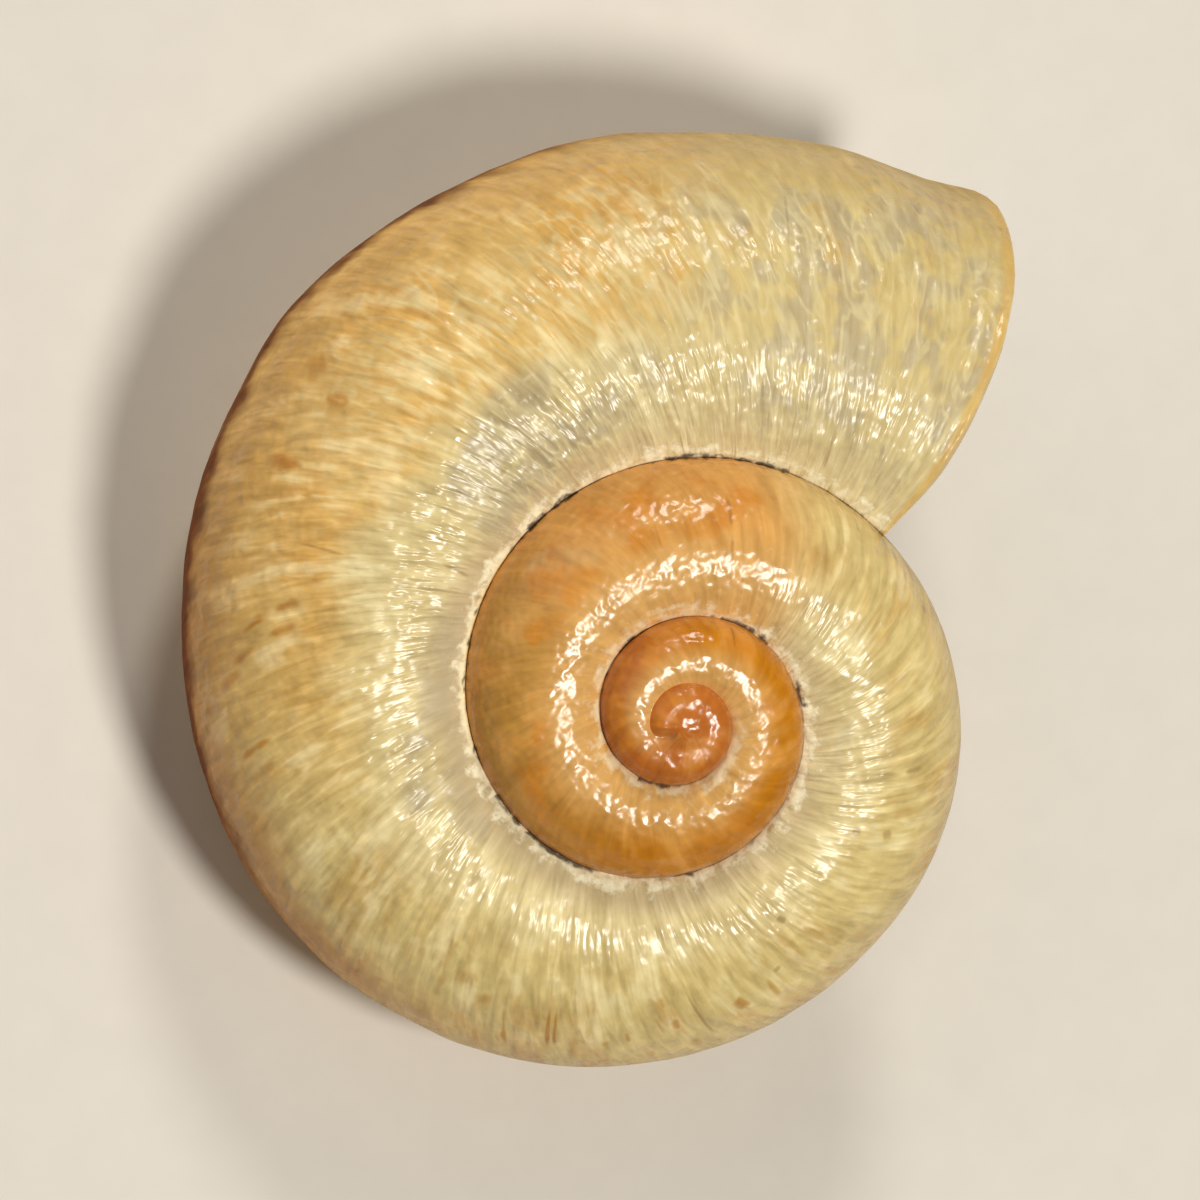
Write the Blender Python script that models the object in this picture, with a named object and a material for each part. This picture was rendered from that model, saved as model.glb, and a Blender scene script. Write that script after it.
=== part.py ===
# A land snail's shell: a low right-handed coil of round whorls, hollow and open at a round mouth.
# Metres, +Z up. The shell lies as it settles by itself, on the lip's foot and the underside of the
# last whorl. The mouth faces -Y, and the origin is at the bottom centre of the shell's box.

from math import acos, atan2, cos, exp, pi, radians, sin, tan

import bmesh
import bpy
from mathutils import Matrix, Vector

# The coil. Turns are counted back from the mouth along the tube.
MOUTH_RADIUS = 0.00959      # what the last whorl adds to the core: coil axis to middle of the tube
CORE_RADIUS = 0.00032       # coil axis to middle of the tube deep inside the tip
GROWTH = (0.836, -0.0253, 0.0383)   # how the coil narrows with the first three powers of the turns
TUBE_SHARE = 0.62           # tube radius as a share of its distance from the axis
TUBE_GAIN = 0.03            # by which that share grows each turn towards the tip
DESCENT = 0.90              # drop below the tip as a share of the distance from the axis
WIDE_SIDE = 0.041           # the coil reaches further out a quarter turn behind the mouth
COILED_TURNS = 2.55         # turns with a seam, from the mouth to the tip's cap

# The wall and the mouth
WALL_SHARE = 0.105          # wall as a share of the tube radius
LIP_THINNING = 0.35         # how much thinner the wall is at the edge
LIP_LENGTH_TURNS = 0.016    # over which the wall thins and the lip flares
LIP_FLARE = 0.00037
FLARE_FADE = 0.2            # share of the lip beside each seam over which the flare dies away
MOUTH_LEAN = radians(8.7)   # the upper edge stands in front of the lower edge
MOUTH_YAW = radians(7.7)    # the inner edge stands in front of the outer edge
CAVITY_TURNS = 1.5          # how far the hollow goes in from the mouth

# The resting pose
AXIS_TILT = radians(15.8)
TILT_AZIMUTH = radians(197.5)       # towards which the tip leans, from the mouth round the coil
FLAT_DEPTH = 0.00015        # worn off where the shell rests

# The mesh
ROWS_PER_TURN = 40
TOP_CELLS = 9               # from the seam above to where the next whorl's seam lands
INNER_CELLS = 7             # under the next whorl's hollow
BASE_CELLS = 8              # from the next whorl's lower seam into the navel
UPPER_LANDING = TOP_CELLS   # columns of a row where the next whorl's outer wall lands
LOWER_LANDING = TOP_CELLS + INNER_CELLS + 2
CAP_RINGS = 4
CAP_RISE = 0.00006          # the tip's dome above the highest point of its edge

SHELL_COLOUR = (0.60, 0.47, 0.26, 1.0)
SHELL_ROUGHNESS = 0.35
CREASE_ANGLE = radians(50.0)


def clearScene():
    for item in list(bpy.data.objects):
        bpy.data.objects.remove(item, do_unlink=True)


def tubeMiddle(turns):
    """Distance from the axis before widening: core + mouth * exp(-(a t + b t^2 + c t^3))."""
    a, b, c = GROWTH
    return CORE_RADIUS + MOUTH_RADIUS * exp(-(a * turns + b * turns ** 2 + c * turns ** 3))


def tubeCircle(turns):
    """Distance from the axis, height and radius of the tube's round section."""
    base = tubeMiddle(turns)
    widened = base * (1.0 + WIDE_SIDE * sin(2.0 * pi * turns))
    return widened, -DESCENT * base, (TUBE_SHARE + TUBE_GAIN * turns) * base


def wallAt(turns):
    thinning = 1.0 - LIP_THINNING * exp(-max(turns, 0.0) / LIP_LENGTH_TURNS)
    return WALL_SHARE * tubeCircle(turns)[2] * thinning


def meeting(turns, inset=0.0):
    """Where a section, drawn in by inset, crosses the section one turn further in.

    Two circles at distance d cross at angles of acos((d^2 + r^2 - s^2) / (2 d r)) either side
    of the line between their centres. Gives upper and lower angle on the inner section, then
    upper and lower angle on the section itself, the last one a turn down."""
    far, high, radius = tubeCircle(turns)
    nearIn, highIn, radiusIn = tubeCircle(turns + 1.0)
    radius -= inset
    gap = Vector((far - nearIn, high - highIn))
    distance = gap.length
    heading = atan2(gap.y, gap.x)

    def spread(own, other):
        share = (distance ** 2 + own ** 2 - other ** 2) / (2.0 * distance * own)
        return acos(max(-1.0, min(1.0, share)))

    onInner = spread(radiusIn, radius)
    onSelf = spread(radius, radiusIn)
    return heading + onInner, heading - onInner, heading + pi - onSelf, heading - pi + onSelf


def surfacePoint(turns, angle, inset=0.0):
    """Point of the tube: angle 0 faces away from the axis, a quarter turn faces up."""
    far, high, radius = tubeCircle(turns)
    out = far + (radius - inset) * cos(angle)
    azimuth = 2.0 * pi * turns
    return Vector((out * cos(azimuth), out * sin(azimuth), high + (radius - inset) * sin(angle)))


def mouthLag(angle):
    """How far the slanted mouth plane falls back from a straight section, in turns."""
    forward = tan(MOUTH_LEAN) * sin(angle) - tan(MOUTH_YAW) * cos(angle)
    return -forward * TUBE_SHARE / (1.0 + TUBE_SHARE * cos(angle)) / (2.0 * pi)


def spacing(start, end, cells):
    return [start + (end - start) * step / cells for step in range(cells + 1)]


def outerAngles(turns):
    """Section angles of one row, from the upper seam round the outside to the lower seam.

    The next whorl's outer and inner walls land on four of them."""
    upperSeam, lowerSeam = meeting(turns)[2:]
    landing = meeting(turns - 1.0)[:2]
    landingInside = meeting(turns - 1.0, wallAt(turns - 1.0))[:2]
    top = spacing(upperSeam, landing[0], TOP_CELLS)
    middle = spacing(landingInside[0], landingInside[1], INNER_CELLS)
    base = spacing(landing[1], lowerSeam, BASE_CELLS)
    return top + middle + base


def rowPoint(row, angle, share, inset):
    """A row's point: near the mouth it falls back to the slanted plane, and the lip flares."""
    turns = row / ROWS_PER_TURN
    seamAngles = meeting(turns)[2:]
    seamLag = mouthLag(seamAngles[0]) * (1.0 - share) + mouthLag(seamAngles[1]) * share
    fade = max(0.0, 1.0 - turns) ** 2
    lagged = turns + (mouthLag(angle) - seamLag) * fade
    away = min(1.0, share / FLARE_FADE, (1.0 - share) / FLARE_FADE)
    flare = LIP_FLARE * exp(-turns / LIP_LENGTH_TURNS) * away
    return surfacePoint(lagged, angle, inset - flare)


def shellRows(bm):
    """Vertices of the outer skin, row by row from the tip, and of the inner skin.

    A row's ends are the landing vertices of the row one turn further in, so that the whorls
    are joined along both seams."""
    lastRow = round(COILED_TURNS * ROWS_PER_TURN)
    cavityRow = round(CAVITY_TURNS * ROWS_PER_TURN)
    outer = {}
    for row in range(lastRow, -1, -1):
        turns = row / ROWS_PER_TURN
        angles = outerAngles(turns)
        cells = len(angles) - 1
        hollowOver = row - ROWS_PER_TURN <= cavityRow
        line = []
        for column, angle in enumerate(angles):
            hidden = UPPER_LANDING < column < LOWER_LANDING and row > ROWS_PER_TURN and not hollowOver
            if column == 0 and row + ROWS_PER_TURN <= lastRow:
                line.append(outer[row + ROWS_PER_TURN][UPPER_LANDING])
            elif column == cells and row + ROWS_PER_TURN <= lastRow:
                line.append(outer[row + ROWS_PER_TURN][LOWER_LANDING])
            elif hidden:
                line.append(None)
            else:
                line.append(bm.verts.new(rowPoint(row, angle, column / cells, 0.0)))
        outer[row] = line
    inner = {}
    for row in range(cavityRow + 1):
        turns = row / ROWS_PER_TURN
        wall = wallAt(turns)
        upper, lower = meeting(turns, wall)[2:]
        cells = len(outer[row]) - 1
        angles = spacing(upper, lower, cells)
        line = [outer[row + ROWS_PER_TURN][UPPER_LANDING + 1]]
        for column in range(1, cells):
            line.append(bm.verts.new(rowPoint(row, angles[column], column / cells, wall)))
        line.append(outer[row + ROWS_PER_TURN][LOWER_LANDING - 1])
        inner[row] = line
    return outer, inner


def joinRows(bm, near, far, columns):
    for column in columns:
        bm.faces.new((near[column], near[column + 1], far[column + 1], far[column]))


def skinFaces(bm, outer, inner):
    lastRow = max(outer)
    cavityRow = max(inner)
    cells = len(outer[0]) - 1
    for row in range(lastRow):
        if row < ROWS_PER_TURN:
            joinRows(bm, outer[row], outer[row + 1], range(cells))
            continue
        joinRows(bm, outer[row], outer[row + 1], range(UPPER_LANDING))
        joinRows(bm, outer[row], outer[row + 1], range(LOWER_LANDING, cells))
        if row - ROWS_PER_TURN < cavityRow:
            joinRows(bm, outer[row], outer[row + 1], range(UPPER_LANDING + 1, LOWER_LANDING - 1))
    for row in range(cavityRow):
        joinRows(bm, inner[row + 1], inner[row], range(cells))
    joinRows(bm, inner[0], outer[0], range(cells))
    bottom = outer[cavityRow + ROWS_PER_TURN][UPPER_LANDING + 1:LOWER_LANDING]
    bm.faces.new(inner[cavityRow] + bottom[-2:0:-1])


def fillCap(bm, loop, rise):
    """Rings that shrink from the loop to its middle, whose height is given by rise."""
    middle = sum((vert.co for vert in loop), Vector()) / len(loop)
    middle.z = max(vert.co.z for vert in loop) + rise
    ring = loop
    for step in range(1, CAP_RINGS):
        share = 1.0 - step / CAP_RINGS
        smaller = []
        for vert in loop:
            point = middle.lerp(vert.co, share)
            point.z = middle.z + (vert.co.z - middle.z) * share ** 2
            smaller.append(bm.verts.new(point))
        for here in range(len(loop)):
            after = (here + 1) % len(loop)
            bm.faces.new((ring[here], ring[after], smaller[after], smaller[here]))
        ring = smaller
    top = bm.verts.new(middle)
    for here in range(len(loop)):
        bm.faces.new((ring[here], ring[(here + 1) % len(loop)], top))


def capTip(bm, outer):
    """Closes the coil's start above, at the tip, and below, at the top of the navel."""
    lastRow = max(outer)
    seamAbove = [outer[row][0] for row in range(lastRow - ROWS_PER_TURN, lastRow)]
    fillCap(bm, seamAbove + outer[lastRow][:TOP_CELLS], CAP_RISE)
    seamBelow = [outer[row][-1] for row in range(lastRow - ROWS_PER_TURN, lastRow)]
    fillCap(bm, seamBelow + outer[lastRow][:LOWER_LANDING:-1], -CAP_RISE)


def restingPlace(bm):
    """The matrix that leans the coil as it rests and puts its box's bottom centre at the origin."""
    lean = Matrix.Rotation(AXIS_TILT, 4, Vector((-sin(TILT_AZIMUTH), cos(TILT_AZIMUTH), 0.0)))
    points = [lean @ vert.co for vert in bm.verts]
    xs = [point.x for point in points]
    ys = [point.y for point in points]
    lowest = min(point.z for point in points)
    middle = ((min(xs) + max(xs)) / 2.0, (min(ys) + max(ys)) / 2.0, lowest + FLAT_DEPTH)
    return Matrix.Translation(-Vector(middle)) @ lean


def wearFlats(bm):
    """Cuts off what lies below the surface that the shell rests on, and closes the cuts."""
    everything = bm.verts[:] + bm.edges[:] + bm.faces[:]
    cut = bmesh.ops.bisect_plane(bm, geom=everything, dist=1e-7, plane_co=(0.0, 0.0, 0.0),
                                 plane_no=(0.0, 0.0, 1.0), clear_inner=True)
    rim = [item for item in cut["geom_cut"] if isinstance(item, bmesh.types.BMEdge)]
    bmesh.ops.holes_fill(bm, edges=rim, sides=0)


def shellMaterial():
    material = bpy.data.materials.new("shell_straw")
    material.use_nodes = True
    shader = material.node_tree.nodes["Principled BSDF"]
    shader.inputs["Base Color"].default_value = SHELL_COLOUR
    shader.inputs["Roughness"].default_value = SHELL_ROUGHNESS
    shader.inputs["Metallic"].default_value = 0.0
    return material


def makeShell():
    bm = bmesh.new()
    outer, inner = shellRows(bm)
    skinFaces(bm, outer, inner)
    capTip(bm, outer)
    bmesh.ops.recalc_face_normals(bm, faces=bm.faces)
    bmesh.ops.transform(bm, matrix=restingPlace(bm), verts=bm.verts)
    wearFlats(bm)
    bmesh.ops.triangulate(bm, faces=bm.faces)
    mesh = bpy.data.meshes.new("shell")
    bm.to_mesh(mesh)
    bm.free()
    mesh.shade_smooth()
    mesh.set_sharp_from_angle(angle=CREASE_ANGLE)
    mesh.materials.append(shellMaterial())
    shell = bpy.data.objects.new("shell", mesh)
    bpy.context.scene.collection.objects.link(shell)
    return shell


clearScene()
makeShell()
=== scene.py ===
import math
import bpy
import numpy as np
from mathutils import Matrix, Vector


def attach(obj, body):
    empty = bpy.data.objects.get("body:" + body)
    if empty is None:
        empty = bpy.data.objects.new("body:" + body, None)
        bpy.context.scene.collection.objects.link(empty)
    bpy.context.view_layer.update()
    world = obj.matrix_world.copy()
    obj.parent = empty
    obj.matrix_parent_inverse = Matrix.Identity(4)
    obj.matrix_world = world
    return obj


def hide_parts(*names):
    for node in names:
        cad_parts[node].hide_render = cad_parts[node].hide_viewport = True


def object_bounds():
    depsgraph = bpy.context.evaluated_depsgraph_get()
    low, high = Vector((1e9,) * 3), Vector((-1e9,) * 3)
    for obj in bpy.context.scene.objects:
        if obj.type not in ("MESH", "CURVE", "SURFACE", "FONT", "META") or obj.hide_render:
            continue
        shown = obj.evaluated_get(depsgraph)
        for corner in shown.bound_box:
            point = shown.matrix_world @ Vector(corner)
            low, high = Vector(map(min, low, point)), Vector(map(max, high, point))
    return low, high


# A land snail's shell that lies on a pale floor, seen from above its tip.
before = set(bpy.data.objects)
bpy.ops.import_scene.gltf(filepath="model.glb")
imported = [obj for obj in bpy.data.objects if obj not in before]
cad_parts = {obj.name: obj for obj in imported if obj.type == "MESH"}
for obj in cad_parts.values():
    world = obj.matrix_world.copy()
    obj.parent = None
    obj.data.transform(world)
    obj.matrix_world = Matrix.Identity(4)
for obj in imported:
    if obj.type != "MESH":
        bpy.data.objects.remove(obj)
cadLow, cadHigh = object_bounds()
print("frame loaded, box in mm", [round(v * 1000, 2) for v in (*cadLow, *cadHigh)])

# Turns are counted back from the mouth. Lengths on the shell are in millimetres until it is placed.
coil = {
    "mouthReach": 9.59,                  # tube middle from the coil's axis at the mouth, above the core
    "coreReach": 0.32,                   # the same deep in the tip
    "growth": (0.836, -0.0253, 0.0383),  # narrowing with the first three powers of the turns
    "tubeShare": 0.62,                   # tube radius over its reach
    "tubeGain": 0.03,                    # gain of that share each turn inwards
    "descent": 0.90,                     # drop below the tip over the reach
    "wideSide": 0.041,                   # bulge of the coil a quarter turn behind the mouth
    "turns": 2.55,                       # where the last seam fades into the tip
    "slowFrom": 3.0, "slowing": 0.3,     # the first whorl keeps its size
    "axisTilt": math.radians(15.8), "tiltTowards": math.radians(197.5),
    "wornFlat": 0.15,                    # worn off where it lies
    "outlineRounding": 0.02,             # turns over which the next table is rounded off
    # slow swelling and waist of the outer side: turns, millimetres
    "outline": (
        (0.0, -0.08), (0.010, -0.22), (0.018, -0.27), (0.028, -0.12), (0.045, -0.10), (0.065, -0.14),
        (0.095, -0.16), (0.118, 0.01), (0.15, -0.04), (0.17, 0.04), (0.20, 0.13), (0.236, 0.24),
        (0.262, 0.07), (0.29, 0.05), (0.34, -0.055), (0.42, -0.02), (0.446, 0.04), (0.50, -0.03),
        (0.60, -0.065), (0.634, -0.095), (0.68, -0.06), (0.74, -0.07), (0.765, 0.0), (0.82, 0.095),
        (0.88, 0.08), (1.0, 0.0),
    ),
}
wall = {
    "share": 0.105,                      # thickness over the tube radius
    "lipThinning": 0.35, "lipTurns": 0.016,
    "cavityTurns": 1.5,                  # how far in it is hollow
}
mouth = {
    "lean": math.radians(8.7), "yaw": math.radians(7.7),
    "flare": 0.37, "flareFade": 0.2,
    "advance": 0.0077,                   # how far the upper foot stands ahead, in turns
    "evenCells": (9, 1, 7, 1, 8),        # how the lip's outline is shared between its five stretches
    "edgeSteps": 5, "edgeRound": 0.8, "edgeTaper": 0.06,
}
grid = {
    "perTurn": 840, "growthBias": 0.8,   # rows of the last whorl, crowded so that they are evenly long
    "columns": (30, 1, 20, 1, 12), "seamCrowding": 1.6,
    "innerStep": 10, "capRings": 14, "capCircle": 0.30, "navelRings": 5, "navelCircle": 0.15,
    "edgeTable": (-0.2, 3.8, 4001),      # turns from, to and steps of the table of edge lengths
    "sharpAngle": math.radians(48.0),
}
tip = {
    "fillFrom": 2.38, "fillTurns": 0.22, "valley": 0.03, "edgeSlope": 3.0,
    "top": -0.05, "topCurve": 2.0, "topFrom": 0.2, "topFade": 0.5,
    "middle": (-0.11, 0.08), "rise": 0.06, "riseWidth": 0.5, "dimple": 0.075, "dimpleWidth": 0.17,
}


def smooth(x):  # 3x^2 - 2x^3 between 0 and 1
    x = np.clip(x, 0.0, 1.0)
    return x * x * (3.0 - 2.0 * x)


def waves(seed, x, y=None):
    # value noise from -1 to 1: seeded heights at whole numbers, joined by a smooth step
    size = 512
    random = np.random.default_rng(seed)
    column = np.floor(x).astype(int)
    across = smooth(x - column)
    if y is None:
        heights = random.uniform(-1.0, 1.0, size)
        return heights[column % size] * (1 - across) + heights[(column + 1) % size] * across
    heights = random.uniform(-1.0, 1.0, (size, size))
    row = np.floor(y).astype(int)
    along = smooth(y - row)
    here, after = [
        heights[column % size, r % size] * (1 - across) + heights[(column + 1) % size, r % size] * across
        for r in (row, row + 1)
    ]
    return here * (1 - along) + after * along


def tubeSection(turns):
    # reach = core + mouth exp(-(a t + b t^2 + c t^3)); gives the reach with its bulge, height, radius
    a, b, c = coil["growth"]
    slowed = coil["slowFrom"] + coil["slowing"] * (turns - coil["slowFrom"])
    t = np.where(turns > coil["slowFrom"], slowed, turns)
    reach = coil["coreReach"] + coil["mouthReach"] * np.exp(-(a * t + b * t ** 2 + c * t ** 3))
    bulge = 1.0 + coil["wideSide"] * np.sin(2.0 * np.pi * turns)
    return reach * bulge, -coil["descent"] * reach, (coil["tubeShare"] + coil["tubeGain"] * t) * reach


def wallThickness(turns):  # a share of the tube radius, thinner towards the lip
    thinning = 1.0 - wall["lipThinning"] * np.exp(-np.maximum(turns, 0.0) / wall["lipTurns"])
    return wall["share"] * tubeSection(turns)[2] * thinning


def seamAngles(turns, inset=0.0):
    # two circles cross at acos((d^2 + r^2 - s^2) / (2 d r)) either side of the line between their
    # middles: upper and lower angle on the whorl further in, then on the whorl itself
    reach, height, radius = tubeSection(turns)
    reachIn, heightIn, radiusIn = tubeSection(turns + 1.0)
    radius = radius - inset
    gap = np.hypot(reach - reachIn, height - heightIn)
    heading = np.arctan2(height - heightIn, reach - reachIn)
    onInner, onSelf = [
        np.arccos(np.clip((gap ** 2 + own ** 2 - other ** 2) / (2.0 * gap * own), -1.0, 1.0))
        for own, other in ((radiusIn, radius), (radius, radiusIn))
    ]
    return heading + onInner, heading - onInner, heading + np.pi - onSelf, heading - np.pi + onSelf


def tubePoint(turns, angle, inset):
    # angle 0 faces away from the axis and a quarter turn faces up
    reach, height, radius = tubeSection(turns)
    out = reach + (radius - inset) * np.cos(angle)
    azimuth = 2.0 * np.pi * turns
    rise = height + (radius - inset) * np.sin(angle)
    return np.stack([out * np.cos(azimuth), out * np.sin(azimuth), rise], -1)


def mouthPlaneLag(angle):
    # how far the slanted mouth falls back from a straight section, in turns:
    # -(tan lean sin a - tan yaw cos a) w / (1 + w cos a) / 2 pi
    forward = math.tan(mouth["lean"]) * np.sin(angle) - math.tan(mouth["yaw"]) * np.cos(angle)
    share = coil["tubeShare"]
    return -forward * share / (1.0 + share * np.cos(angle)) / (2.0 * np.pi)


def lipLag(turns, angle, share):
    # the mouth's lag, brought to nothing at both seams, less the advance of its upper side
    upper, lower = seamAngles(turns)[2:]
    lag = mouthPlaneLag(angle) - mouthPlaneLag(upper) * (1.0 - share) - mouthPlaneLag(lower) * share
    return lag - mouth["advance"] * (1.0 - smooth(share / 0.5))


def turnOfRow(row):
    # within a turn t = -ln(1 - u (1 - e^-k)) / k, so that rows are equally far apart along the edge
    bias = grid["growthBias"]
    u = (row % grid["perTurn"]) / grid["perTurn"]
    return row // grid["perTurn"] - np.log(1.0 - u * (1.0 - math.exp(-bias))) / bias


def rowOfTurn(turns, step):  # the nearest row that is a multiple of step
    bias = grid["growthBias"]
    whole, part = divmod(turns, 1.0)
    u = (1.0 - math.exp(-bias * part)) / (1.0 - math.exp(-bias))
    return int(step * round((whole + u) * grid["perTurn"] / step))


# Growth lines are the lines that the lip has left behind, swept back towards the outside.
growthLines = {"sweep": 0.40, "outerSweep": 0.02, "lipTurns": 0.10}


def growthTurn(rowTurns, angle, lag, share):
    # the row's turns and its lag, less the line's own: like the lip beside the lip, and further in
    # s ln(1 + w cos a) / 2 pi + q (1 - sin a)
    older = growthLines["sweep"] * np.log(1.0 + coil["tubeShare"] * np.cos(angle)) / (2.0 * np.pi)
    older = older + growthLines["outerSweep"] * (1.0 - np.sin(angle))
    near = np.exp(-np.maximum(rowTurns, 0.0) / growthLines["lipTurns"])
    return rowTurns + lag - near * lipLag(rowTurns, angle, share) - (1.0 - near) * older


def edgeLengths():  # turns, and the length along the coil's outer edge from the lip to each
    turns = np.linspace(*grid["edgeTable"])
    reach, _, radius = tubeSection(turns)
    steps = np.diff(turns) * 2.0 * np.pi * (reach + radius)[1:]
    lengths = np.concatenate([[0.0], np.cumsum(steps)])
    return turns, lengths - np.interp(0.0, turns, lengths)


edgeTurns, edgeMillimetres = edgeLengths()

relief = {
    # heights in millimetres, and the length and width of their noise
    "ribs": 0.0042, "ribLengths": (0.36, 0.61),
    "folds": 0.009, "foldSize": (1.6, 9.0),
    "wrinkles": 0.010, "wrinkleSizes": ((0.42, 0.95), (0.8, 0.7)),
    "dints": 0.022, "dintSize": (1.25, 1.1),
    "dents": 0.030, "dentSize": (4.6, 4.2),
    "brokenSize": (1.3, 2.6), "crumbSize": (0.34, 0.3),
    "lipGain": 0.9, "lipTurns": 0.03,    # stronger ribs beside the lip
    "earlyShare": 0.30, "earlyFrom": 0.98, "earlyFade": 0.12,
    "clearOfSeam": 0.25,
    "bead": 0.055, "beadFrom": 0.20, "beadWidth": 0.12,
    "beadFades": ((0.95, 0.2, 0.6), (1.7, 0.4, 1.0)),  # from, over how many turns, by how much
    "crevice": 0.05, "creviceWidth": 0.06, "creviceLength": 0.5, "creviceFade": (1.6, 0.5),
}


def outlineTable():  # the outline's swelling, rounded off by a moving average
    turns = np.linspace(0.0, 1.1, 1101)
    swelling = np.interp(turns, *np.transpose(coil["outline"]))
    half = round(coil["outlineRounding"] / 2.0 / turns[1])
    window = np.full(2 * half + 1, 1.0 / (2 * half + 1))
    return turns, np.convolve(np.pad(swelling, half, "edge"), window, "valid")


swellTurns, swellMillimetres = outlineTable()


def skinNoise(seed, length, around, size):  # waves of one size on the unrolled skin
    return waves(seed, length / size[0], around / size[1])


def skinRelief(length, around, turns, fromSeam):
    # ribs and folds along the growth lines, broken by wrinkles, with wide dents, and a crumbly bead
    # b exp(-((d - from) / width)^2) beside the seam; millimetres outwards
    early = smooth((turns - relief["earlyFrom"]) / relief["earlyFade"])
    late = 1.0 - (1.0 - relief["earlyShare"]) * early
    broken = 0.6 + 0.4 * skinNoise(3, length, around, relief["brokenSize"])
    nearLip = 1.0 + relief["lipGain"] * np.exp(-np.maximum(turns, 0.0) / relief["lipTurns"])
    narrow, wide = relief["ribLengths"]
    ribs = relief["ribs"] * nearLip * (waves(4, length / narrow) + 0.6 * waves(5, length / wide))
    folds = relief["folds"] * skinNoise(6, length, around, relief["foldSize"])
    first, second = relief["wrinkleSizes"]
    wrinkles = skinNoise(7, length, around, first) + 0.8 * skinNoise(8, length, around, second)
    dents = relief["dents"] * skinNoise(9, length, around, relief["dentSize"])
    dints = relief["dints"] * skinNoise(12, length, around, relief["dintSize"])
    skin = broken * (ribs + relief["wrinkles"] * wrinkles) + folds + dents + dints
    crumbs = 0.55 + 0.75 * skinNoise(10, length, around, relief["crumbSize"])
    bead = relief["bead"] * crumbs * np.exp(-((fromSeam - relief["beadFrom"]) / relief["beadWidth"]) ** 2)
    for start, over, loss in relief["beadFades"]:
        bead = bead * (1.0 - smooth((turns - start) / over) * loss)
    return late * smooth(fromSeam / relief["clearOfSeam"]) * skin + bead


def creviceDepth(length, turns, beside):  # an uneven groove d exp(-(x / width)^2) along the seam
    uneven = 0.65 + 0.5 * waves(11, length / relief["creviceLength"])
    groove = np.exp(-(beside / relief["creviceWidth"]) ** 2)
    start, over = relief["creviceFade"]
    return relief["crevice"] * uneven * groove * (1.0 - smooth((turns - start) / over))


# Marks that lie where they are seen: turns and degrees of both ends, width in millimetres, strength.
marks = {
    "ochre": (
        (0.262, 50, 0.270, 42, 0.50, 0.75), (0.258, 36, 0.266, 30, 0.35, 0.5),
        (0.290, 48, 0.298, 33, 0.20, 0.9), (0.336, 63, 0.345, 50, 0.13, 1.0),
        (0.345, 50, 0.359, 38, 0.16, 1.0), (0.346, 62, 0.356, 48, 0.12, 0.8),
        (0.356, 48, 0.370, 36, 0.15, 0.9), (0.368, 42, 0.380, 28, 0.16, 0.6),
        (0.393, 51, 0.404, 33, 0.13, 0.9), (0.402, 52, 0.415, 32, 0.15, 0.8),
        (0.386, 46, 0.396, 30, 0.22, 0.4), (0.410, 48, 0.424, 28, 0.2, 0.5),
        (0.470, 40, 0.478, 22, 0.2, 0.5), (0.496, 36, 0.503, 18, 0.22, 0.6),
        (0.520, 56, 0.528, 40, 0.13, 0.6), (0.541, 58, 0.549, 44, 0.22, 0.8),
        (0.549, 62, 0.570, 24, 0.08, 1.0), (0.571, 64, 0.585, 32, 0.07, 0.9),
        (0.574, 66, 0.587, 34, 0.06, 0.9), (0.590, 48, 0.598, 28, 0.16, 0.5),
        (0.606, 46, 0.611, 36, 0.10, 0.9), (0.614, 52, 0.619, 42, 0.09, 0.9),
        (0.622, 66, 0.637, 44, 0.06, 0.6), (0.628, 68, 0.633, 60, 0.10, 0.7),
        (0.638, 56, 0.643, 46, 0.11, 0.9), (0.650, 40, 0.656, 28, 0.15, 0.5),
        (0.671, 58, 0.679, 48, 0.16, 0.9), (0.690, 62, 0.698, 44, 0.09, 0.7),
        (0.722, 44, 0.734, 26, 0.2, 0.5), (0.745, 50, 0.756, 32, 0.22, 0.4),
    ),
    "dark": (
        (0.290, 112, 0.293, 98, 0.06, 0.7), (0.632, 98, 0.642, 84, 0.06, 0.5),
        (0.640, 74, 0.664, 34, 0.05, 0.9), (0.711, 84, 0.716, 79, 0.11, 0.9),
        (0.698, 63, 0.701, 60, 0.12, 0.8), (0.795, 84, 0.800, 79, 0.14, 0.9),
        (0.803, 69, 0.808, 64, 0.13, 0.8), (0.841, 84, 0.848, 68, 0.07, 0.8),
        (0.848, 68, 0.855, 54, 0.09, 0.9), (0.230, 98, 0.237, 98, 0.10, 0.7),
        (0.232, 93, 0.238, 92, 0.08, 0.6), (0.351, 105, 0.356, 98, 0.13, 0.5),
        (1.104, 46, 1.096, 70, 0.07, 0.9), (1.096, 70, 1.088, 92, 0.06, 0.7),
        (1.160, 60, 1.156, 80, 0.05, 0.5), (2.066, 16, 2.044, 64, 0.045, 0.8),
        (0.020, 108, 0.030, 96, 0.08, 0.5), (0.046, 112, 0.052, 100, 0.07, 0.5),
        (0.095, 62, 0.099, 34, 0.05, 0.5), (0.312, 74, 0.318, 50, 0.05, 0.7),
    ),
}
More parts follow.
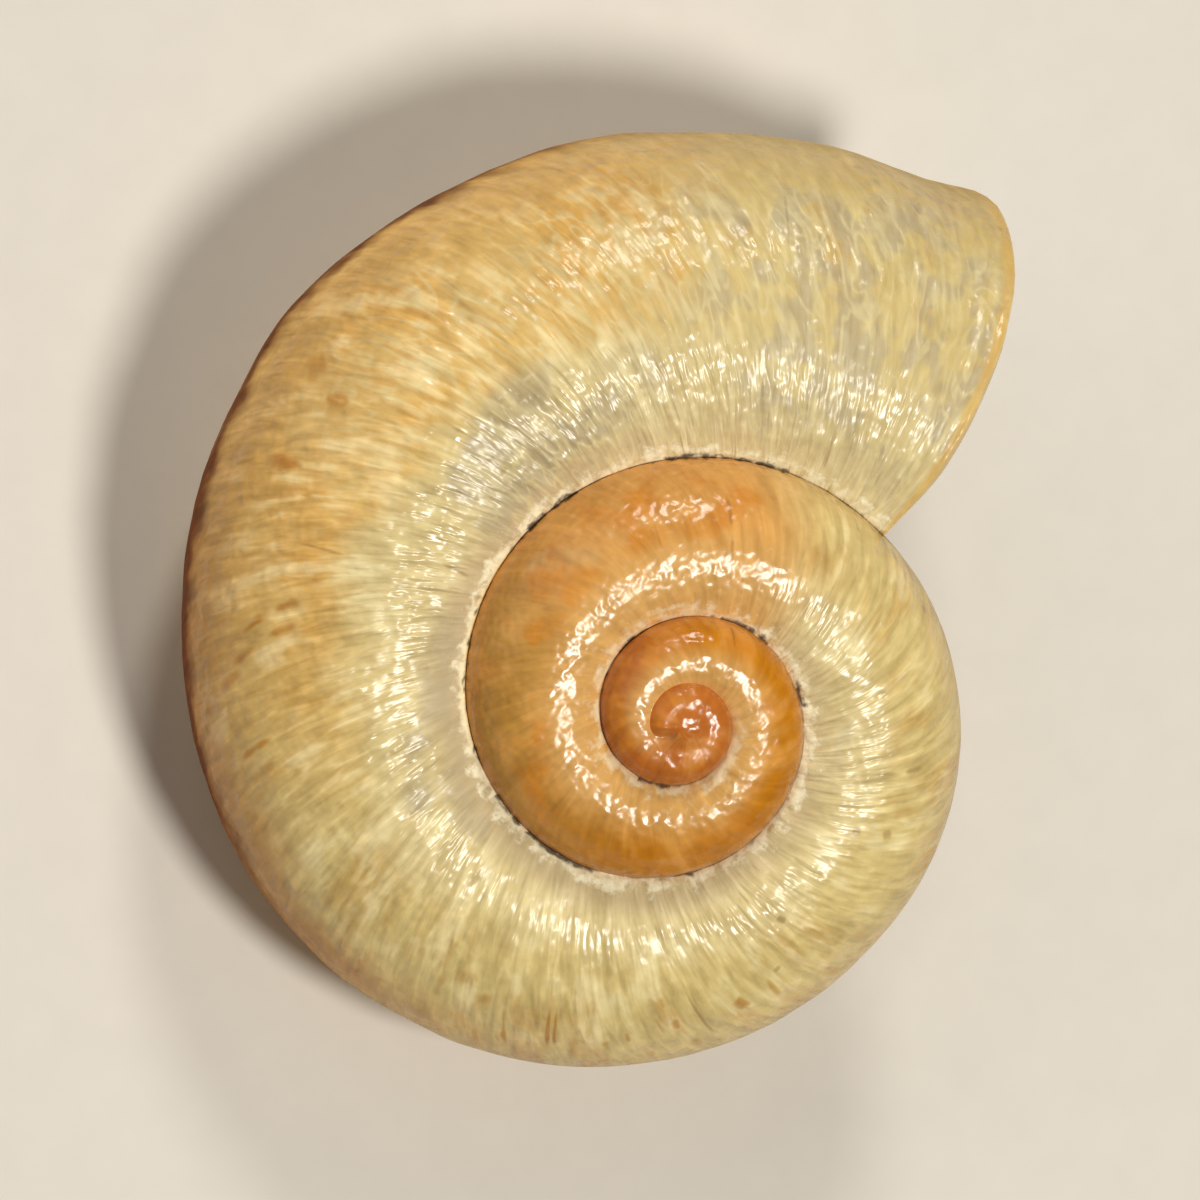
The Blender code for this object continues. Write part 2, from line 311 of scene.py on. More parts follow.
# Patches that fade out all round, in the same terms.
patches = {
    "grey": (
        (1.215, 62, 1.255, 38, 0.45, 0.9), (1.255, 62, 1.270, 44, 0.35, 0.5),
        (0.170, 98, 0.250, 106, 0.9, 0.9), (0.320, 108, 0.46, 104, 0.9, 0.6),
        (0.400, 98, 0.43, 92, 0.7, 0.7), (0.800, 100, 0.90, 96, 0.4, 0.35),
        (0.205, 84, 0.25, 92, 1.0, 0.95), (0.130, 92, 0.17, 88, 0.7, 0.5),
    ),
    "flame": (
        (1.222, 80, 1.236, 68, 0.42, 1.0), (1.12, 66, 1.18, 72, 0.50, 0.9),
        (1.275, 78, 1.30, 64, 0.42, 0.9), (1.06, 70, 1.11, 80, 0.35, 0.5),
        (1.34, 40, 1.36, 24, 0.5, 0.5), (1.66, 40, 1.78, 34, 0.7, 0.6), (1.85, 30, 1.97, 30, 0.5, 0.6),
    ),
}


def markFrame(mark):
    # the line between a mark's ends in millimetres on the unrolled skin, and its scale there
    firstTurn, firstAngle, lastTurn, lastAngle = mark[:4]
    reach, _, radius = tubeSection((firstTurn + lastTurn) / 2.0)
    around = reach + radius * math.cos(math.radians((firstAngle + lastAngle) / 2.0))
    scale = np.array([2.0 * math.pi * around, radius])
    first = np.array([firstTurn, math.radians(firstAngle)])
    return first, (np.array([lastTurn, math.radians(lastAngle)]) - first) * scale, scale


def nearestMark(turns, angle, kind):
    # for each triangle the mark nearest to it: how far along it each corner lies, from -1 at one end to
    # 1 at the other, how many widths beside it, and its strength
    best = np.full(len(turns), 1e9)
    found = np.zeros((len(turns), 3, 3))
    for mark in marks[kind]:
        first, line, scale = markFrame(mark)
        offset = (np.stack([turns, angle], -1) - first) * scale
        half = np.linalg.norm(line) / 2.0
        along = offset @ line / (half * 2.0) / half - 1.0
        beside = (offset @ np.array([-line[1], line[0]])) / (half * 2.0) / mark[4]
        off = np.abs(beside.mean(1)) + np.maximum(np.abs(along.mean(1)) - 1.0, 0.0) * half / mark[4]
        nearer = off < best
        best[nearer] = off[nearer]
        found[nearer] = np.stack([along, beside, np.full(along.shape, mark[5])], -1)[nearer]
    return found


def patchShare(turns, angle, kind):
    # the strongest of the patches: its strength on the line between its ends, 0 at 1.2 widths from it
    share = np.zeros(len(turns))
    for patch in patches[kind]:
        first, line, scale = markFrame(patch)
        offset = (np.stack([turns, angle], -1) - first) * scale
        along = np.clip(offset @ line / (line @ line), 0.0, 1.0)
        off = np.linalg.norm(offset - along[:, None] * line, axis=1)
        share = np.maximum(share, patch[5] * smooth(1.2 - off / patch[4]))
    return share


# Stretches of the seam, in turns, that gape; painted shade darkens them.
gaps = (
    (0.065, 0.135), (0.205, 0.235), (0.455, 0.555), (0.905, 0.935), (1.0, 1.07), (1.2, 1.25), (1.53, 1.6),
)


def gapShare(turns):  # 1 along a gaping stretch, fading over a hundredth of a turn past its ends
    least, fade = 0.15, 0.01
    share = np.full(len(turns), least)
    for first, last in gaps:
        stretch = smooth((turns - first) / fade + 1.0) * smooth((last - turns) / fade + 1.0)
        share = np.maximum(share, stretch)
    return share


farOff = 9.0  # millimetres, where no seam is near


class Skin:
    # Gathers points, where each lies on the shell, and triangles. Points may share one vertex.
    def __init__(self):
        self.points, self.triangles = [], []
        self.place, self.grain, self.seam, self.patches = [], [], [], []
        self.count, self.welds = 0, []

    def add(self, points, growth, angle, inside, around, turns, fromSeam, toSeam):
        full = np.ones(len(points))
        length = np.interp(growth, edgeTurns, edgeMillimetres)
        self.points.append(points)
        self.place.append(np.stack([growth, np.degrees(angle), inside * full], -1))
        self.grain.append(np.stack([length, around, turns], -1))
        fromSeam, toSeam = fromSeam * full, toSeam * full
        gap = gapShare(np.where(fromSeam < np.abs(toSeam), turns, turns - 1.0))
        self.seam.append(np.stack([fromSeam, toSeam, gap], -1))
        shares = [patchShare(turns, angle, kind) for kind in ("grey", "flame")]
        self.patches.append(np.stack([*shares, 0.0 * full], -1))
        self.count += len(points)
        return np.arange(self.count - len(points), self.count)

    def weld(self, copies, originals):  # copies keep their own place on the shell
        self.welds.append((np.ravel(copies), np.ravel(originals)))

    def quads(self, a, b, c, d):
        a, b, c, d = [np.ravel(corner) for corner in (a, b, c, d)]
        self.triangles += [np.stack([a, b, c], -1), np.stack([a, c, d], -1)]

    def fan(self, tip, chain):
        self.triangles.append(np.stack([np.full(len(chain) - 1, tip), chain[:-1], chain[1:]], -1))

    def strip(self, left, right):
        # joins two columns of points; one may have twice as many steps as the other
        if len(left) == len(right):
            self.quads(left[:-1], right[:-1], right[1:], left[1:])
        elif len(left) < len(right):
            middle = right[1::2]
            self.triangles += [
                np.stack([left[:-1], right[:-1:2], middle], -1),
                np.stack([left[:-1], middle, left[1:]], -1),
                np.stack([left[1:], middle, right[2::2]], -1),
            ]
        else:
            middle = left[1::2]
            self.triangles += [
                np.stack([left[:-1:2], right[:-1], middle], -1),
                np.stack([middle, right[:-1], right[1:]], -1),
                np.stack([middle, right[1:], left[2::2]], -1),
            ]


def columnLayout():
    # the stretches of a row: top, wall above, below the next whorl's hollow, wall below, base
    counts = grid["columns"]
    starts = np.concatenate([[0], np.cumsum(counts)])
    column = np.arange(starts[-1] + 1)
    zone = np.searchsorted(starts[1:-1], column, side="right")
    part = (column - starts[zone]) / np.array(counts)[zone]
    part = np.where(zone == 0, part ** grid["seamCrowding"], part)
    even = np.concatenate([[0], np.cumsum(mouth["evenCells"])]) / sum(mouth["evenCells"])
    share = even[zone] + (even[zone + 1] - even[zone]) * part
    return zone, part, share, starts[1], starts[4], starts[5]


zoneOf, partOf, shareOf, upperLanding, lowerLanding, cells = columnLayout()
lastRow = rowOfTurn(coil["turns"], 4)
cavityRow = rowOfTurn(wall["cavityTurns"], grid["innerStep"])
perTurn = grid["perTurn"]


def columnAngle(turns, column):
    # between the seam above, the next whorl's landings outside and inside, and the seam below
    landing = seamAngles(turns - 1.0)
    landingIn = seamAngles(turns - 1.0, wallThickness(turns - 1.0))
    own = seamAngles(turns)
    ends = np.stack([own[2], landing[0], landingIn[0], landingIn[1], landing[1], own[3]])
    zone, part, each = zoneOf[column], partOf[column], np.arange(len(turns))
    return ends[zone, each] * (1.0 - part) + ends[zone + 1, each] * part


def rowLag(turns, angle, column):
    # the mouth's lag fades over its whorl as (1 - t)^2; the whorl under it keeps to the mouth's upper
    # foot, and that shift fades as (2 - t)^2
    own = lipLag(turns, angle, shareOf[column]) * np.maximum(0.0, 1.0 - turns) ** 2
    foot = -mouth["advance"] * np.interp(column, (0, upperLanding, lowerLanding), (0.0, 1.0, 0.0))
    fade = np.where(turns < 1.0, smooth((turns - 0.9) / 0.1), np.maximum(0.0, 2.0 - turns) ** 2)
    return own + foot * fade


def lipFlare(turns, column):  # the lip turns outwards by f exp(-t / s), less towards both seams
    away = np.clip(np.minimum(shareOf[column], 1.0 - shareOf[column]) / mouth["flareFade"], 0.0, 1.0)
    return mouth["flare"] * np.exp(-turns / wall["lipTurns"]) * away


def outerSkin(skin):
    # rows are present at every step of the last whorl, every second one of the next, every fourth of
    # the tip; a row's ends lie on the landing columns of the whorl one turn further in
    row = np.arange(lastRow + 1)
    present = np.zeros((lastRow + 1, cells + 1), bool)
    present[:perTurn + 1] = True
    present[perTurn:2 * perTurn + 1:2] = True
    present[2 * perTurn::4] = True
    present[perTurn + 1:, upperLanding + 1:lowerLanding] = False
    hollow = (row > perTurn) & (row <= perTurn + cavityRow) & (row % grid["innerStep"] == 0)
    present[np.ix_(hollow, np.arange(upperLanding + 1, lowerLanding))] = True
    for landing in (upperLanding, lowerLanding):
        present[perTurn:2 * perTurn + 1, landing] = True
        present[2 * perTurn::2, landing] = True

    rows, columns = np.nonzero(present)
    turns = turnOfRow(rows)
    angle = columnAngle(turns, columns)
    lag = rowLag(turns, angle, columns)
    radius = tubeSection(turns)[2]
    growth = growthTurn(turns, angle, lag, shareOf[columns])
    length = np.interp(growth, edgeTurns, edgeMillimetres)
    fromSeam = radius * (seamAngles(turns)[2] - angle)
    under = (turns > 1.0) & (columns > upperLanding) & (columns < lowerLanding)
    toSeam = np.where(turns > 1.0, radius * (angle - seamAngles(turns - 1.0)[0]), farOff)
    toSeam = np.where(toSeam < -0.02, radius * (seamAngles(turns - 1.0)[1] - angle), toSeam)
    rise = np.where(under, 0.0, skinRelief(length, radius * angle, turns, fromSeam))
    rise = rise + np.interp(turns, swellTurns, swellMillimetres) * np.maximum(np.cos(angle), 0.0)
    points = tubePoint(turns + lag, angle, -lipFlare(turns, columns) - rise)
    reach, height, radius = tubeSection(turns)
    crest = height + radius - points[:, 2]
    points[:, 2] += np.where(angle > 0.5 * np.pi, crest * tipFill(turns), 0.0)
    beside = np.minimum(fromSeam, np.abs(toSeam))
    points[:, 2] -= creviceDepth(length, turns, beside)
    ids = np.full(present.shape, -1)
    ids[rows, columns] = skin.add(
        points, growth, angle, under, radius * angle, turns + lag, fromSeam, toSeam)
    joined = row[:lastRow - perTurn + 1]
    joined = joined[present[joined, 0]]
    skin.weld(ids[joined, 0], ids[joined + perTurn, upperLanding])
    skin.weld(ids[joined, -1], ids[joined + perTurn, lowerLanding])
    return ids


def outerFaces(skin, ids):
    # column by column and whorl by whorl; the wall columns have faces only in front of the mouth
    whorls = ((0, perTurn), (perTurn, 2 * perTurn), (2 * perTurn, lastRow))
    lipCells = (upperLanding, lowerLanding - 1)
    for column in range(cells):
        for first, last in whorls:
            behind = first >= perTurn
            if behind and upperLanding <= column < lowerLanding:
                continue
            if not behind and column in lipCells:
                last = perTurn - 1
            pair = [ids[first:last + 1, side] for side in (column, column + 1)]
            skin.strip(*(side[side >= 0] for side in pair))
    under = ids[perTurn:perTurn + cavityRow + 1:grid["innerStep"], upperLanding + 1:lowerLanding]
    skin.quads(under[:-1, :-1], under[:-1, 1:], under[1:, 1:], under[1:, :-1])
    return under


def innerSkin(skin, ids):
    # the hollow's wall, radially under the outer skin; its ends are where it lands on the whorl
    # one turn further in
    steps = np.arange(0, cavityRow + 1, grid["innerStep"])
    rows, columns = [a.ravel() for a in np.meshgrid(steps, np.arange(cells + 1), indexing="ij")]
    turns = turnOfRow(rows)
    thick = wallThickness(turns)
    upper, lower = seamAngles(turns)[2:]
    upperIn, lowerIn = seamAngles(turns, thick)[2:]
    angle = upperIn + (lowerIn - upperIn) * (upper - columnAngle(turns, columns)) / (upper - lower)
    lag = rowLag(turns, angle, columns)
    radius = tubeSection(turns)[2]
    growth = growthTurn(turns, angle, lag, shareOf[columns])
    points = tubePoint(turns + lag, angle, thick - lipFlare(turns, columns))
    inner = skin.add(points, growth, angle, 1.0, radius * angle, turns + lag, farOff, farOff)
    inner = inner.reshape(-1, cells + 1)
    behind = steps + perTurn
    skin.weld(inner[:, 0], ids[behind, upperLanding + 1])
    skin.weld(inner[:, -1], ids[behind, lowerLanding - 1])
    skin.quads(inner[1:, :-1], inner[1:, 1:], inner[:-1, 1:], inner[:-1, :-1])
    return inner


def pointsOf(skin, chosen):
    return np.concatenate(skin.points)[chosen]


def lipEdge(skin, ids, inner):
    # a half round between the outer and the inner skin: middle + half cos u + forward r sin u
    outer = ids[0]
    ends = pointsOf(skin, outer), pointsOf(skin, inner[0])
    landed = pointsOf(skin, ids[perTurn, [upperLanding, lowerLanding, upperLanding + 1, lowerLanding - 1]])
    ends[0][[0, -1]], ends[1][[0, -1]] = landed[:2], landed[2:]
    middle, half = (ends[0] + ends[1]) / 2.0, (ends[0] - ends[1]) / 2.0
    forward = ends[0] - pointsOf(skin, ids[2])
    forward /= np.linalg.norm(forward, axis=1)[:, None]
    taper = smooth(np.minimum(shareOf, 1.0 - shareOf) / mouth["edgeTaper"])
    reach = mouth["edgeRound"] * taper * np.linalg.norm(half, axis=1)
    start = np.zeros(cells + 1)
    angle = columnAngle(start, np.arange(cells + 1))
    around = tubeSection(0.0)[2] * angle
    rings = [outer]
    for step in range(1, mouth["edgeSteps"]):
        u = math.pi * step / mouth["edgeSteps"]
        points = middle + half * math.cos(u) + forward * (reach * math.sin(u))[:, None]
        inside = step / mouth["edgeSteps"]
        rings.append(skin.add(points, start, angle, inside, around, start, farOff, farOff))
    rings.append(inner[0])
    rings = np.array(rings)
    skin.quads(rings[1:, :-1], rings[1:, 1:], rings[:-1, 1:], rings[:-1, :-1])
    # the whorl's cells in front of the lip's feet take the points of the half round
    before = ids[perTurn - 1]
    for landing, ring in ((upperLanding, rings[1:-1, 0]), (lowerLanding - 1, rings[-2:0:-1, -1])):
        foot = np.concatenate([[ids[perTurn, landing]], ring, [ids[perTurn, landing + 1]]])
        skin.fan(before[landing], np.concatenate([[before[landing + 1]], foot[::-1]]))


def cavityEnd(skin, inner, under):  # closes the hollow far behind the mouth
    loop = np.concatenate([inner[-1], under[-1, -2:0:-1]])
    middle = pointsOf(skin, loop).mean(0)[None]
    turns = np.full(1, wall["cavityTurns"])
    end = skin.add(middle, turns, np.zeros(1), 1.0, np.zeros(1), turns, farOff, farOff)[0]
    skin.fan(end, np.append(loop, loop[0])[::-1])


def tipFill(turns):  # how far a whorl's inner side is filled up to its crest
    return smooth((turns - tip["fillFrom"]) / tip["fillTurns"])


def coilHeight(x, y):
    # the highest of the whorls that pass under a point, with soft valleys: w ln(sum exp(h / w)); past
    # the last seam a whorl is filled inside its crest, up to a dome t - r^2 / 2c with a small dimple;
    # also the turns, the section angle and the radius of the highest
    distance = np.hypot(x, y)
    azimuth = np.arctan2(y, x) / (2.0 * np.pi) % 1.0
    turns = azimuth + np.arange(1, 6)[:, None]
    reach, height, radius = tubeSection(turns)
    off = distance - reach
    off = np.where(off < 0.0, off * (1.0 - tipFill(turns)), off)
    top = height + np.sqrt(np.maximum(radius ** 2 - off ** 2, 0.0))
    top -= tip["edgeSlope"] * np.maximum(np.abs(off) - radius, 0.0)
    top -= tipFill(turns - 1.0)
    highest = top.argmax(0)
    each = np.arange(len(x))
    blended = top.max(0) + tip["valley"] * np.log(np.exp((top - top.max(0)) / tip["valley"]).sum(0))
    dome = tip["top"] - distance ** 2 / (2.0 * tip["topCurve"])
    blended = dome + (blended - dome) * smooth((distance - tip["topFrom"]) / tip["topFade"])
    fromMiddle = np.hypot(x - tip["middle"][0], y - tip["middle"][1])
    blended += tip["rise"] * np.exp(-(fromMiddle / tip["riseWidth"]) ** 2)
    blended -= tip["dimple"] * np.exp(-(fromMiddle / tip["dimpleWidth"]) ** 2)
    angle = np.arctan2((top - height)[highest, each], off[highest, each])
    return blended, turns[highest, each], angle, radius[highest, each]


def closeLoop(skin, loop, rings, circle, above):
    # rings between the loop and a small circle about the axis, and a fan; above the tip they lie on
    # the whorls' own height, in the navel they stay between the heights of their ends
    start = pointsOf(skin, loop)
    step = np.linalg.norm(np.diff(start, axis=0, append=start[:1]), axis=1)
    first = np.arctan2(start[0, 1], start[0, 0])
    turned = first + 2.0 * np.pi * np.concatenate([[0.0], np.cumsum(step)[:-1]]) / step.sum()
    target = circle * np.stack([np.cos(turned), np.sin(turned)], -1)
    lowest = start[:, 2].mean()
    fixed = coilHeight(start[:, 0], start[:, 1])[0] if above else None
    previous = loop
    for number in range(1, rings + 2):
        centre = number == rings + 1
        along = 1.0 - math.cos(0.5 * math.pi * min(1.0, number / rings))
        plan = np.zeros((1, 2)) if centre else start[:, :2] * (1.0 - along) + target * along
        height, turns, angle, radius = coilHeight(plan[:, 0], plan[:, 1])
        if not above:
            height = np.full(1, lowest) if centre else start[:, 2] * (1.0 - along) + lowest * along
            turns, angle = np.full(len(plan), coil["turns"]), np.full(len(plan), -1.5)
        elif not centre:
            height = height + (start[:, 2] - fixed) * (1.0 - along) ** 6
        toSeam = radius * (angle - seamAngles(turns - 1.0)[0]) if above else farOff
        points = np.column_stack([plan, height])
        ids = skin.add(points, turns, angle, 0.0, radius * angle, turns, farOff, toSeam)
        if centre:
            closed = np.append(previous, previous[0])
            skin.fan(ids[0], closed if above else closed[::-1])
        else:
            pairs = (previous, np.roll(previous, -1), np.roll(ids, -1), ids)
            skin.quads(*(pairs if above else pairs[::-1]))
        previous = ids


def shellSkin():
    skin = Skin()
    ids = outerSkin(skin)
    under = outerFaces(skin, ids)
    inner = innerSkin(skin, ids)
    lipEdge(skin, ids, inner)
    cavityEnd(skin, inner, under)
    lastWhorl = ids[lastRow - perTurn:lastRow]
    upper, lower = [lastWhorl[lastWhorl[:, side] >= 0, side] for side in (0, -1)]
    top = np.concatenate([upper, ids[lastRow, :upperLanding]])
    navel = np.concatenate([lower, ids[lastRow, :lowerLanding:-1]])
    closeLoop(skin, top, grid["capRings"], grid["capCircle"], True)
    closeLoop(skin, navel, grid["navelRings"], grid["navelCircle"], False)
    return skin


def restOnFloor(points):
    # leans the coil as it rests and puts it where the frame's box is; what would reach through the
    # floor is worn flat
    towards = coil["tiltTowards"]
    lean = Matrix.Rotation(coil["axisTilt"], 3, (-math.sin(towards), math.cos(towards), 0.0))
    points = points @ np.array(lean).T
    middle = (points.min(0) + points.max(0)) / 2.0
    boxMiddle = (cadLow + cadHigh) * 500.0
    drop = points[:, 2].min() + coil["wornFlat"]
    shift = Vector((boxMiddle.x - middle[0], boxMiddle.y - middle[1], -drop))
    points = points + np.array(shift)
    points[:, 2] = np.maximum(points[:, 2], 0.0)
    return points, Matrix.Translation(shift) @ lean.to_4x4()


def newObject(name, data):
    made = bpy.data.objects.new(name, data)
    bpy.context.scene.collection.objects.link(made)
    return made


def makeShell():
    # copies of a point share one vertex, while each triangle's corner keeps its own place on the shell
    skin = shellSkin()
    points, coilToWorld = restOnFloor(np.concatenate(skin.points))
    shared = np.arange(skin.count)
    for copies, originals in skin.welds:
        shared[copies] = originals
    shared = shared[shared]
    triangles = np.concatenate(skin.triangles)
    corners = shared[triangles]
    used, vertex = np.unique(corners, return_inverse=True)
    mesh = bpy.data.meshes.new("snail_shell")
    mesh.from_pydata((points[used] * 0.001).tolist(), [], vertex.reshape(-1, 3).tolist())
    names = ("place", "grain", "seam", "patches")
    layers = {name: np.concatenate(getattr(skin, name))[triangles] for name in names}
    turns, angle = layers["grain"][..., 2], np.radians(layers["place"][..., 1])
    for kind in marks:
        layers[kind] = nearestMark(turns, angle, kind)
    for name, values in layers.items():
        layer = mesh.attributes.new(name, "FLOAT_VECTOR", "CORNER")
        layer.data.foreach_set("vector", values.astype(np.float32).ravel())
    mesh.validate()
    mesh.shade_smooth()
    mesh.set_sharp_from_angle(angle=grid["sharpAngle"])
    shell = newObject("snail_shell", mesh)
    print("shell made of", len(triangles), "triangles,", len(used), "vertices")
    return shell, coilToWorld


shell, coilToWorld = makeShell()


def linear(colour):  # sRGB from 0 to 255 to linear light: ((c + 0.055) / 1.055)^2.4
    part = np.array(colour) / 255.0
    return (*np.where(part > 0.04045, ((part + 0.055) / 1.055) ** 2.4, part / 12.92), 1.0)


class Wire:
    # a node's output; arithmetic on it adds Math nodes
    def __init__(self, finish, socket):
        self.finish, self.socket = finish, socket

    def __add__(self, other):
        return self.finish.maths("ADD", self, other)

    def __sub__(self, other):
        return self.finish.maths("SUBTRACT", self, other)

    def __rsub__(self, other):
        return self.finish.maths("SUBTRACT", other, self)

    def __mul__(self, other):
        return self.finish.maths("MULTIPLY", self, other)

    __radd__, __rmul__ = __add__, __mul__


class Finish:
    # a material and the nodes in it
    def __init__(self, name):
        self.material = bpy.data.materials.new(name)
        self.material.use_nodes = True
        self.tree = self.material.node_tree
        self.tree.nodes.clear()

    def node(self, kind, settings, values, output=0):
        node = self.tree.nodes.new(kind)
        for name, value in settings.items():
            setattr(node, name, value)
        for name, value in values.items():
            if isinstance(value, Wire):
                self.tree.links.new(value.socket, node.inputs[name])
            else:
                node.inputs[name].default_value = value
        return Wire(self, node.outputs[output]) if node.outputs else node

    def maths(self, operation, *values):
        return self.node("ShaderNodeMath", {"operation": operation}, dict(enumerate(values)))

    def parts(self, name):  # the three numbers of a vector attribute
        vector = self.node("ShaderNodeAttribute", {"attribute_name": name}, {}, "Vector")
        return [self.node("ShaderNodeSeparateXYZ", {}, {0: vector}, n) for n in range(3)]

    def ramp(self, value, start, end):  # smoothly from 0 at start to 1 at end
        ends = {"Value": value, "From Min": start, "From Max": end}
        return self.node("ShaderNodeMapRange", {"interpolation_type": "SMOOTHSTEP"}, ends)

    def hump(self, value, start, full, fade, end):  # up between start and full, down between fade and end
        return self.ramp(value, start, full) * (1.0 - self.ramp(value, fade, end))

    def blend(self, first, second, factor, way="MIX"):
        settings = {"data_type": "RGBA", "blend_type": way, "clamp_factor": True}
        colours = [linear(c) if isinstance(c, tuple) else c for c in (first, second)]
        return self.node("ShaderNodeMix", settings, {0: factor, 6: colours[0], 7: colours[1]}, 2)

    def noise(self, vector, scale, detail, roughness, distortion=0.0):
        values = {"Vector": vector, "Scale": scale, "Detail": detail, "Roughness": roughness}
        return self.node("ShaderNodeTexNoise", {}, {**values, "Distortion": distortion})

    def awayFrom(self, value, middle):  # |value - middle|
        return self.maths("ABSOLUTE", value - middle if middle else value)


tones = {
    # the last whorl
    "straw": (224, 200, 134), "biscuit": (204, 164, 92), "honey": (228, 176, 92), "cream": (224, 204, 148),
    "pale": (236, 222, 172), "pearl": (212, 192, 146), "shade": (196, 174, 134), "ash": (184, 168, 134),
    "vein": (230, 212, 156), "drySide": (208, 176, 108), "brownSide": (190, 126, 34),
    "under": (214, 180, 120), "rust": (112, 50, 6),
    # the early whorls
    "amber": (220, 160, 84), "caramel": (200, 126, 24), "olive": (184, 140, 66), "flame": (206, 126, 20),
    "ember": (190, 108, 40), "sand": (216, 168, 98), "smear": (200, 162, 108),
    # stains, cracks, the seam with the painted shade of its crevice, the lip's edge and the inside
    "stain": (214, 176, 112), "crack": (128, 86, 42), "chalk": (250, 240, 204), "clean": (250, 238, 190),
    "crevice": (84, 58, 34), "gold": (222, 176, 84), "lining": (236, 222, 192),
}
# Where a colour lies: turns or degrees at which it starts, is full, starts to fade and is gone.
zones = {
    "honeyTurns": (0.09, 0.17, 0.34, 0.46), "honeyAngles": (4, 24, 66, 92),
    "shadeTurns": (0.12, 0.2, 0.76, 0.86), "ashAngles": (22, 45, 95, 112),
    "brownTurns": (0.26, 0.36, 0.46, 0.56), "rimTurns": (0.08, 0.22, 0.42, 0.50),
    "oliveTurns": (1.24, 1.3, 1.42, 1.6), "oliveAngles": (14, 34, 60, 90), "flameAngles": (30, 50, 74, 90),
    "stainTurns": (0.42, 0.5, 0.86, 1.0), "stainAngles": (4, 16, 26, 50),
    "cleanTurns": (0.25, 0.28, 0.39, 0.43),
}
# Noise stretched along the growth lines: scale along the edge and around the tube, seed, detail,
# roughness, distortion. Then noise that is even in all directions: scale, detail, roughness.
stretched = {
    "fine": (3.0, 0.8, 1.0, 2.0, 0.5, 0.5), "wide": (1.2, 0.25, 2.0, 2.0, 0.5, 0.3),
    "veins": (1.2, 0.5, 7.0, 1.0, 0.5, 1.2), "wrinkle": (3.6, 1.3, 5.0, 0.5, 0.5, 0.3),
}
even = {
    "blotch": (300.0, 4.0, 0.6), "mottle": (900.0, 2.0, 0.5), "speck": (2600.0, 3.0, 0.6),
    "pebble": (2500.0, 0.6, 0.5), "bead": (4400.0, 0.3, 0.5),
}
gloss = {
    "bodyRoughness": 0.26, "earlyRoughness": 0.24, "ior": 1.42, "wrinkleHeight": 0.00005,
    "sideRoughness": 0.8, "sideSpecular": 0.1, "sideShare": 0.85,
}


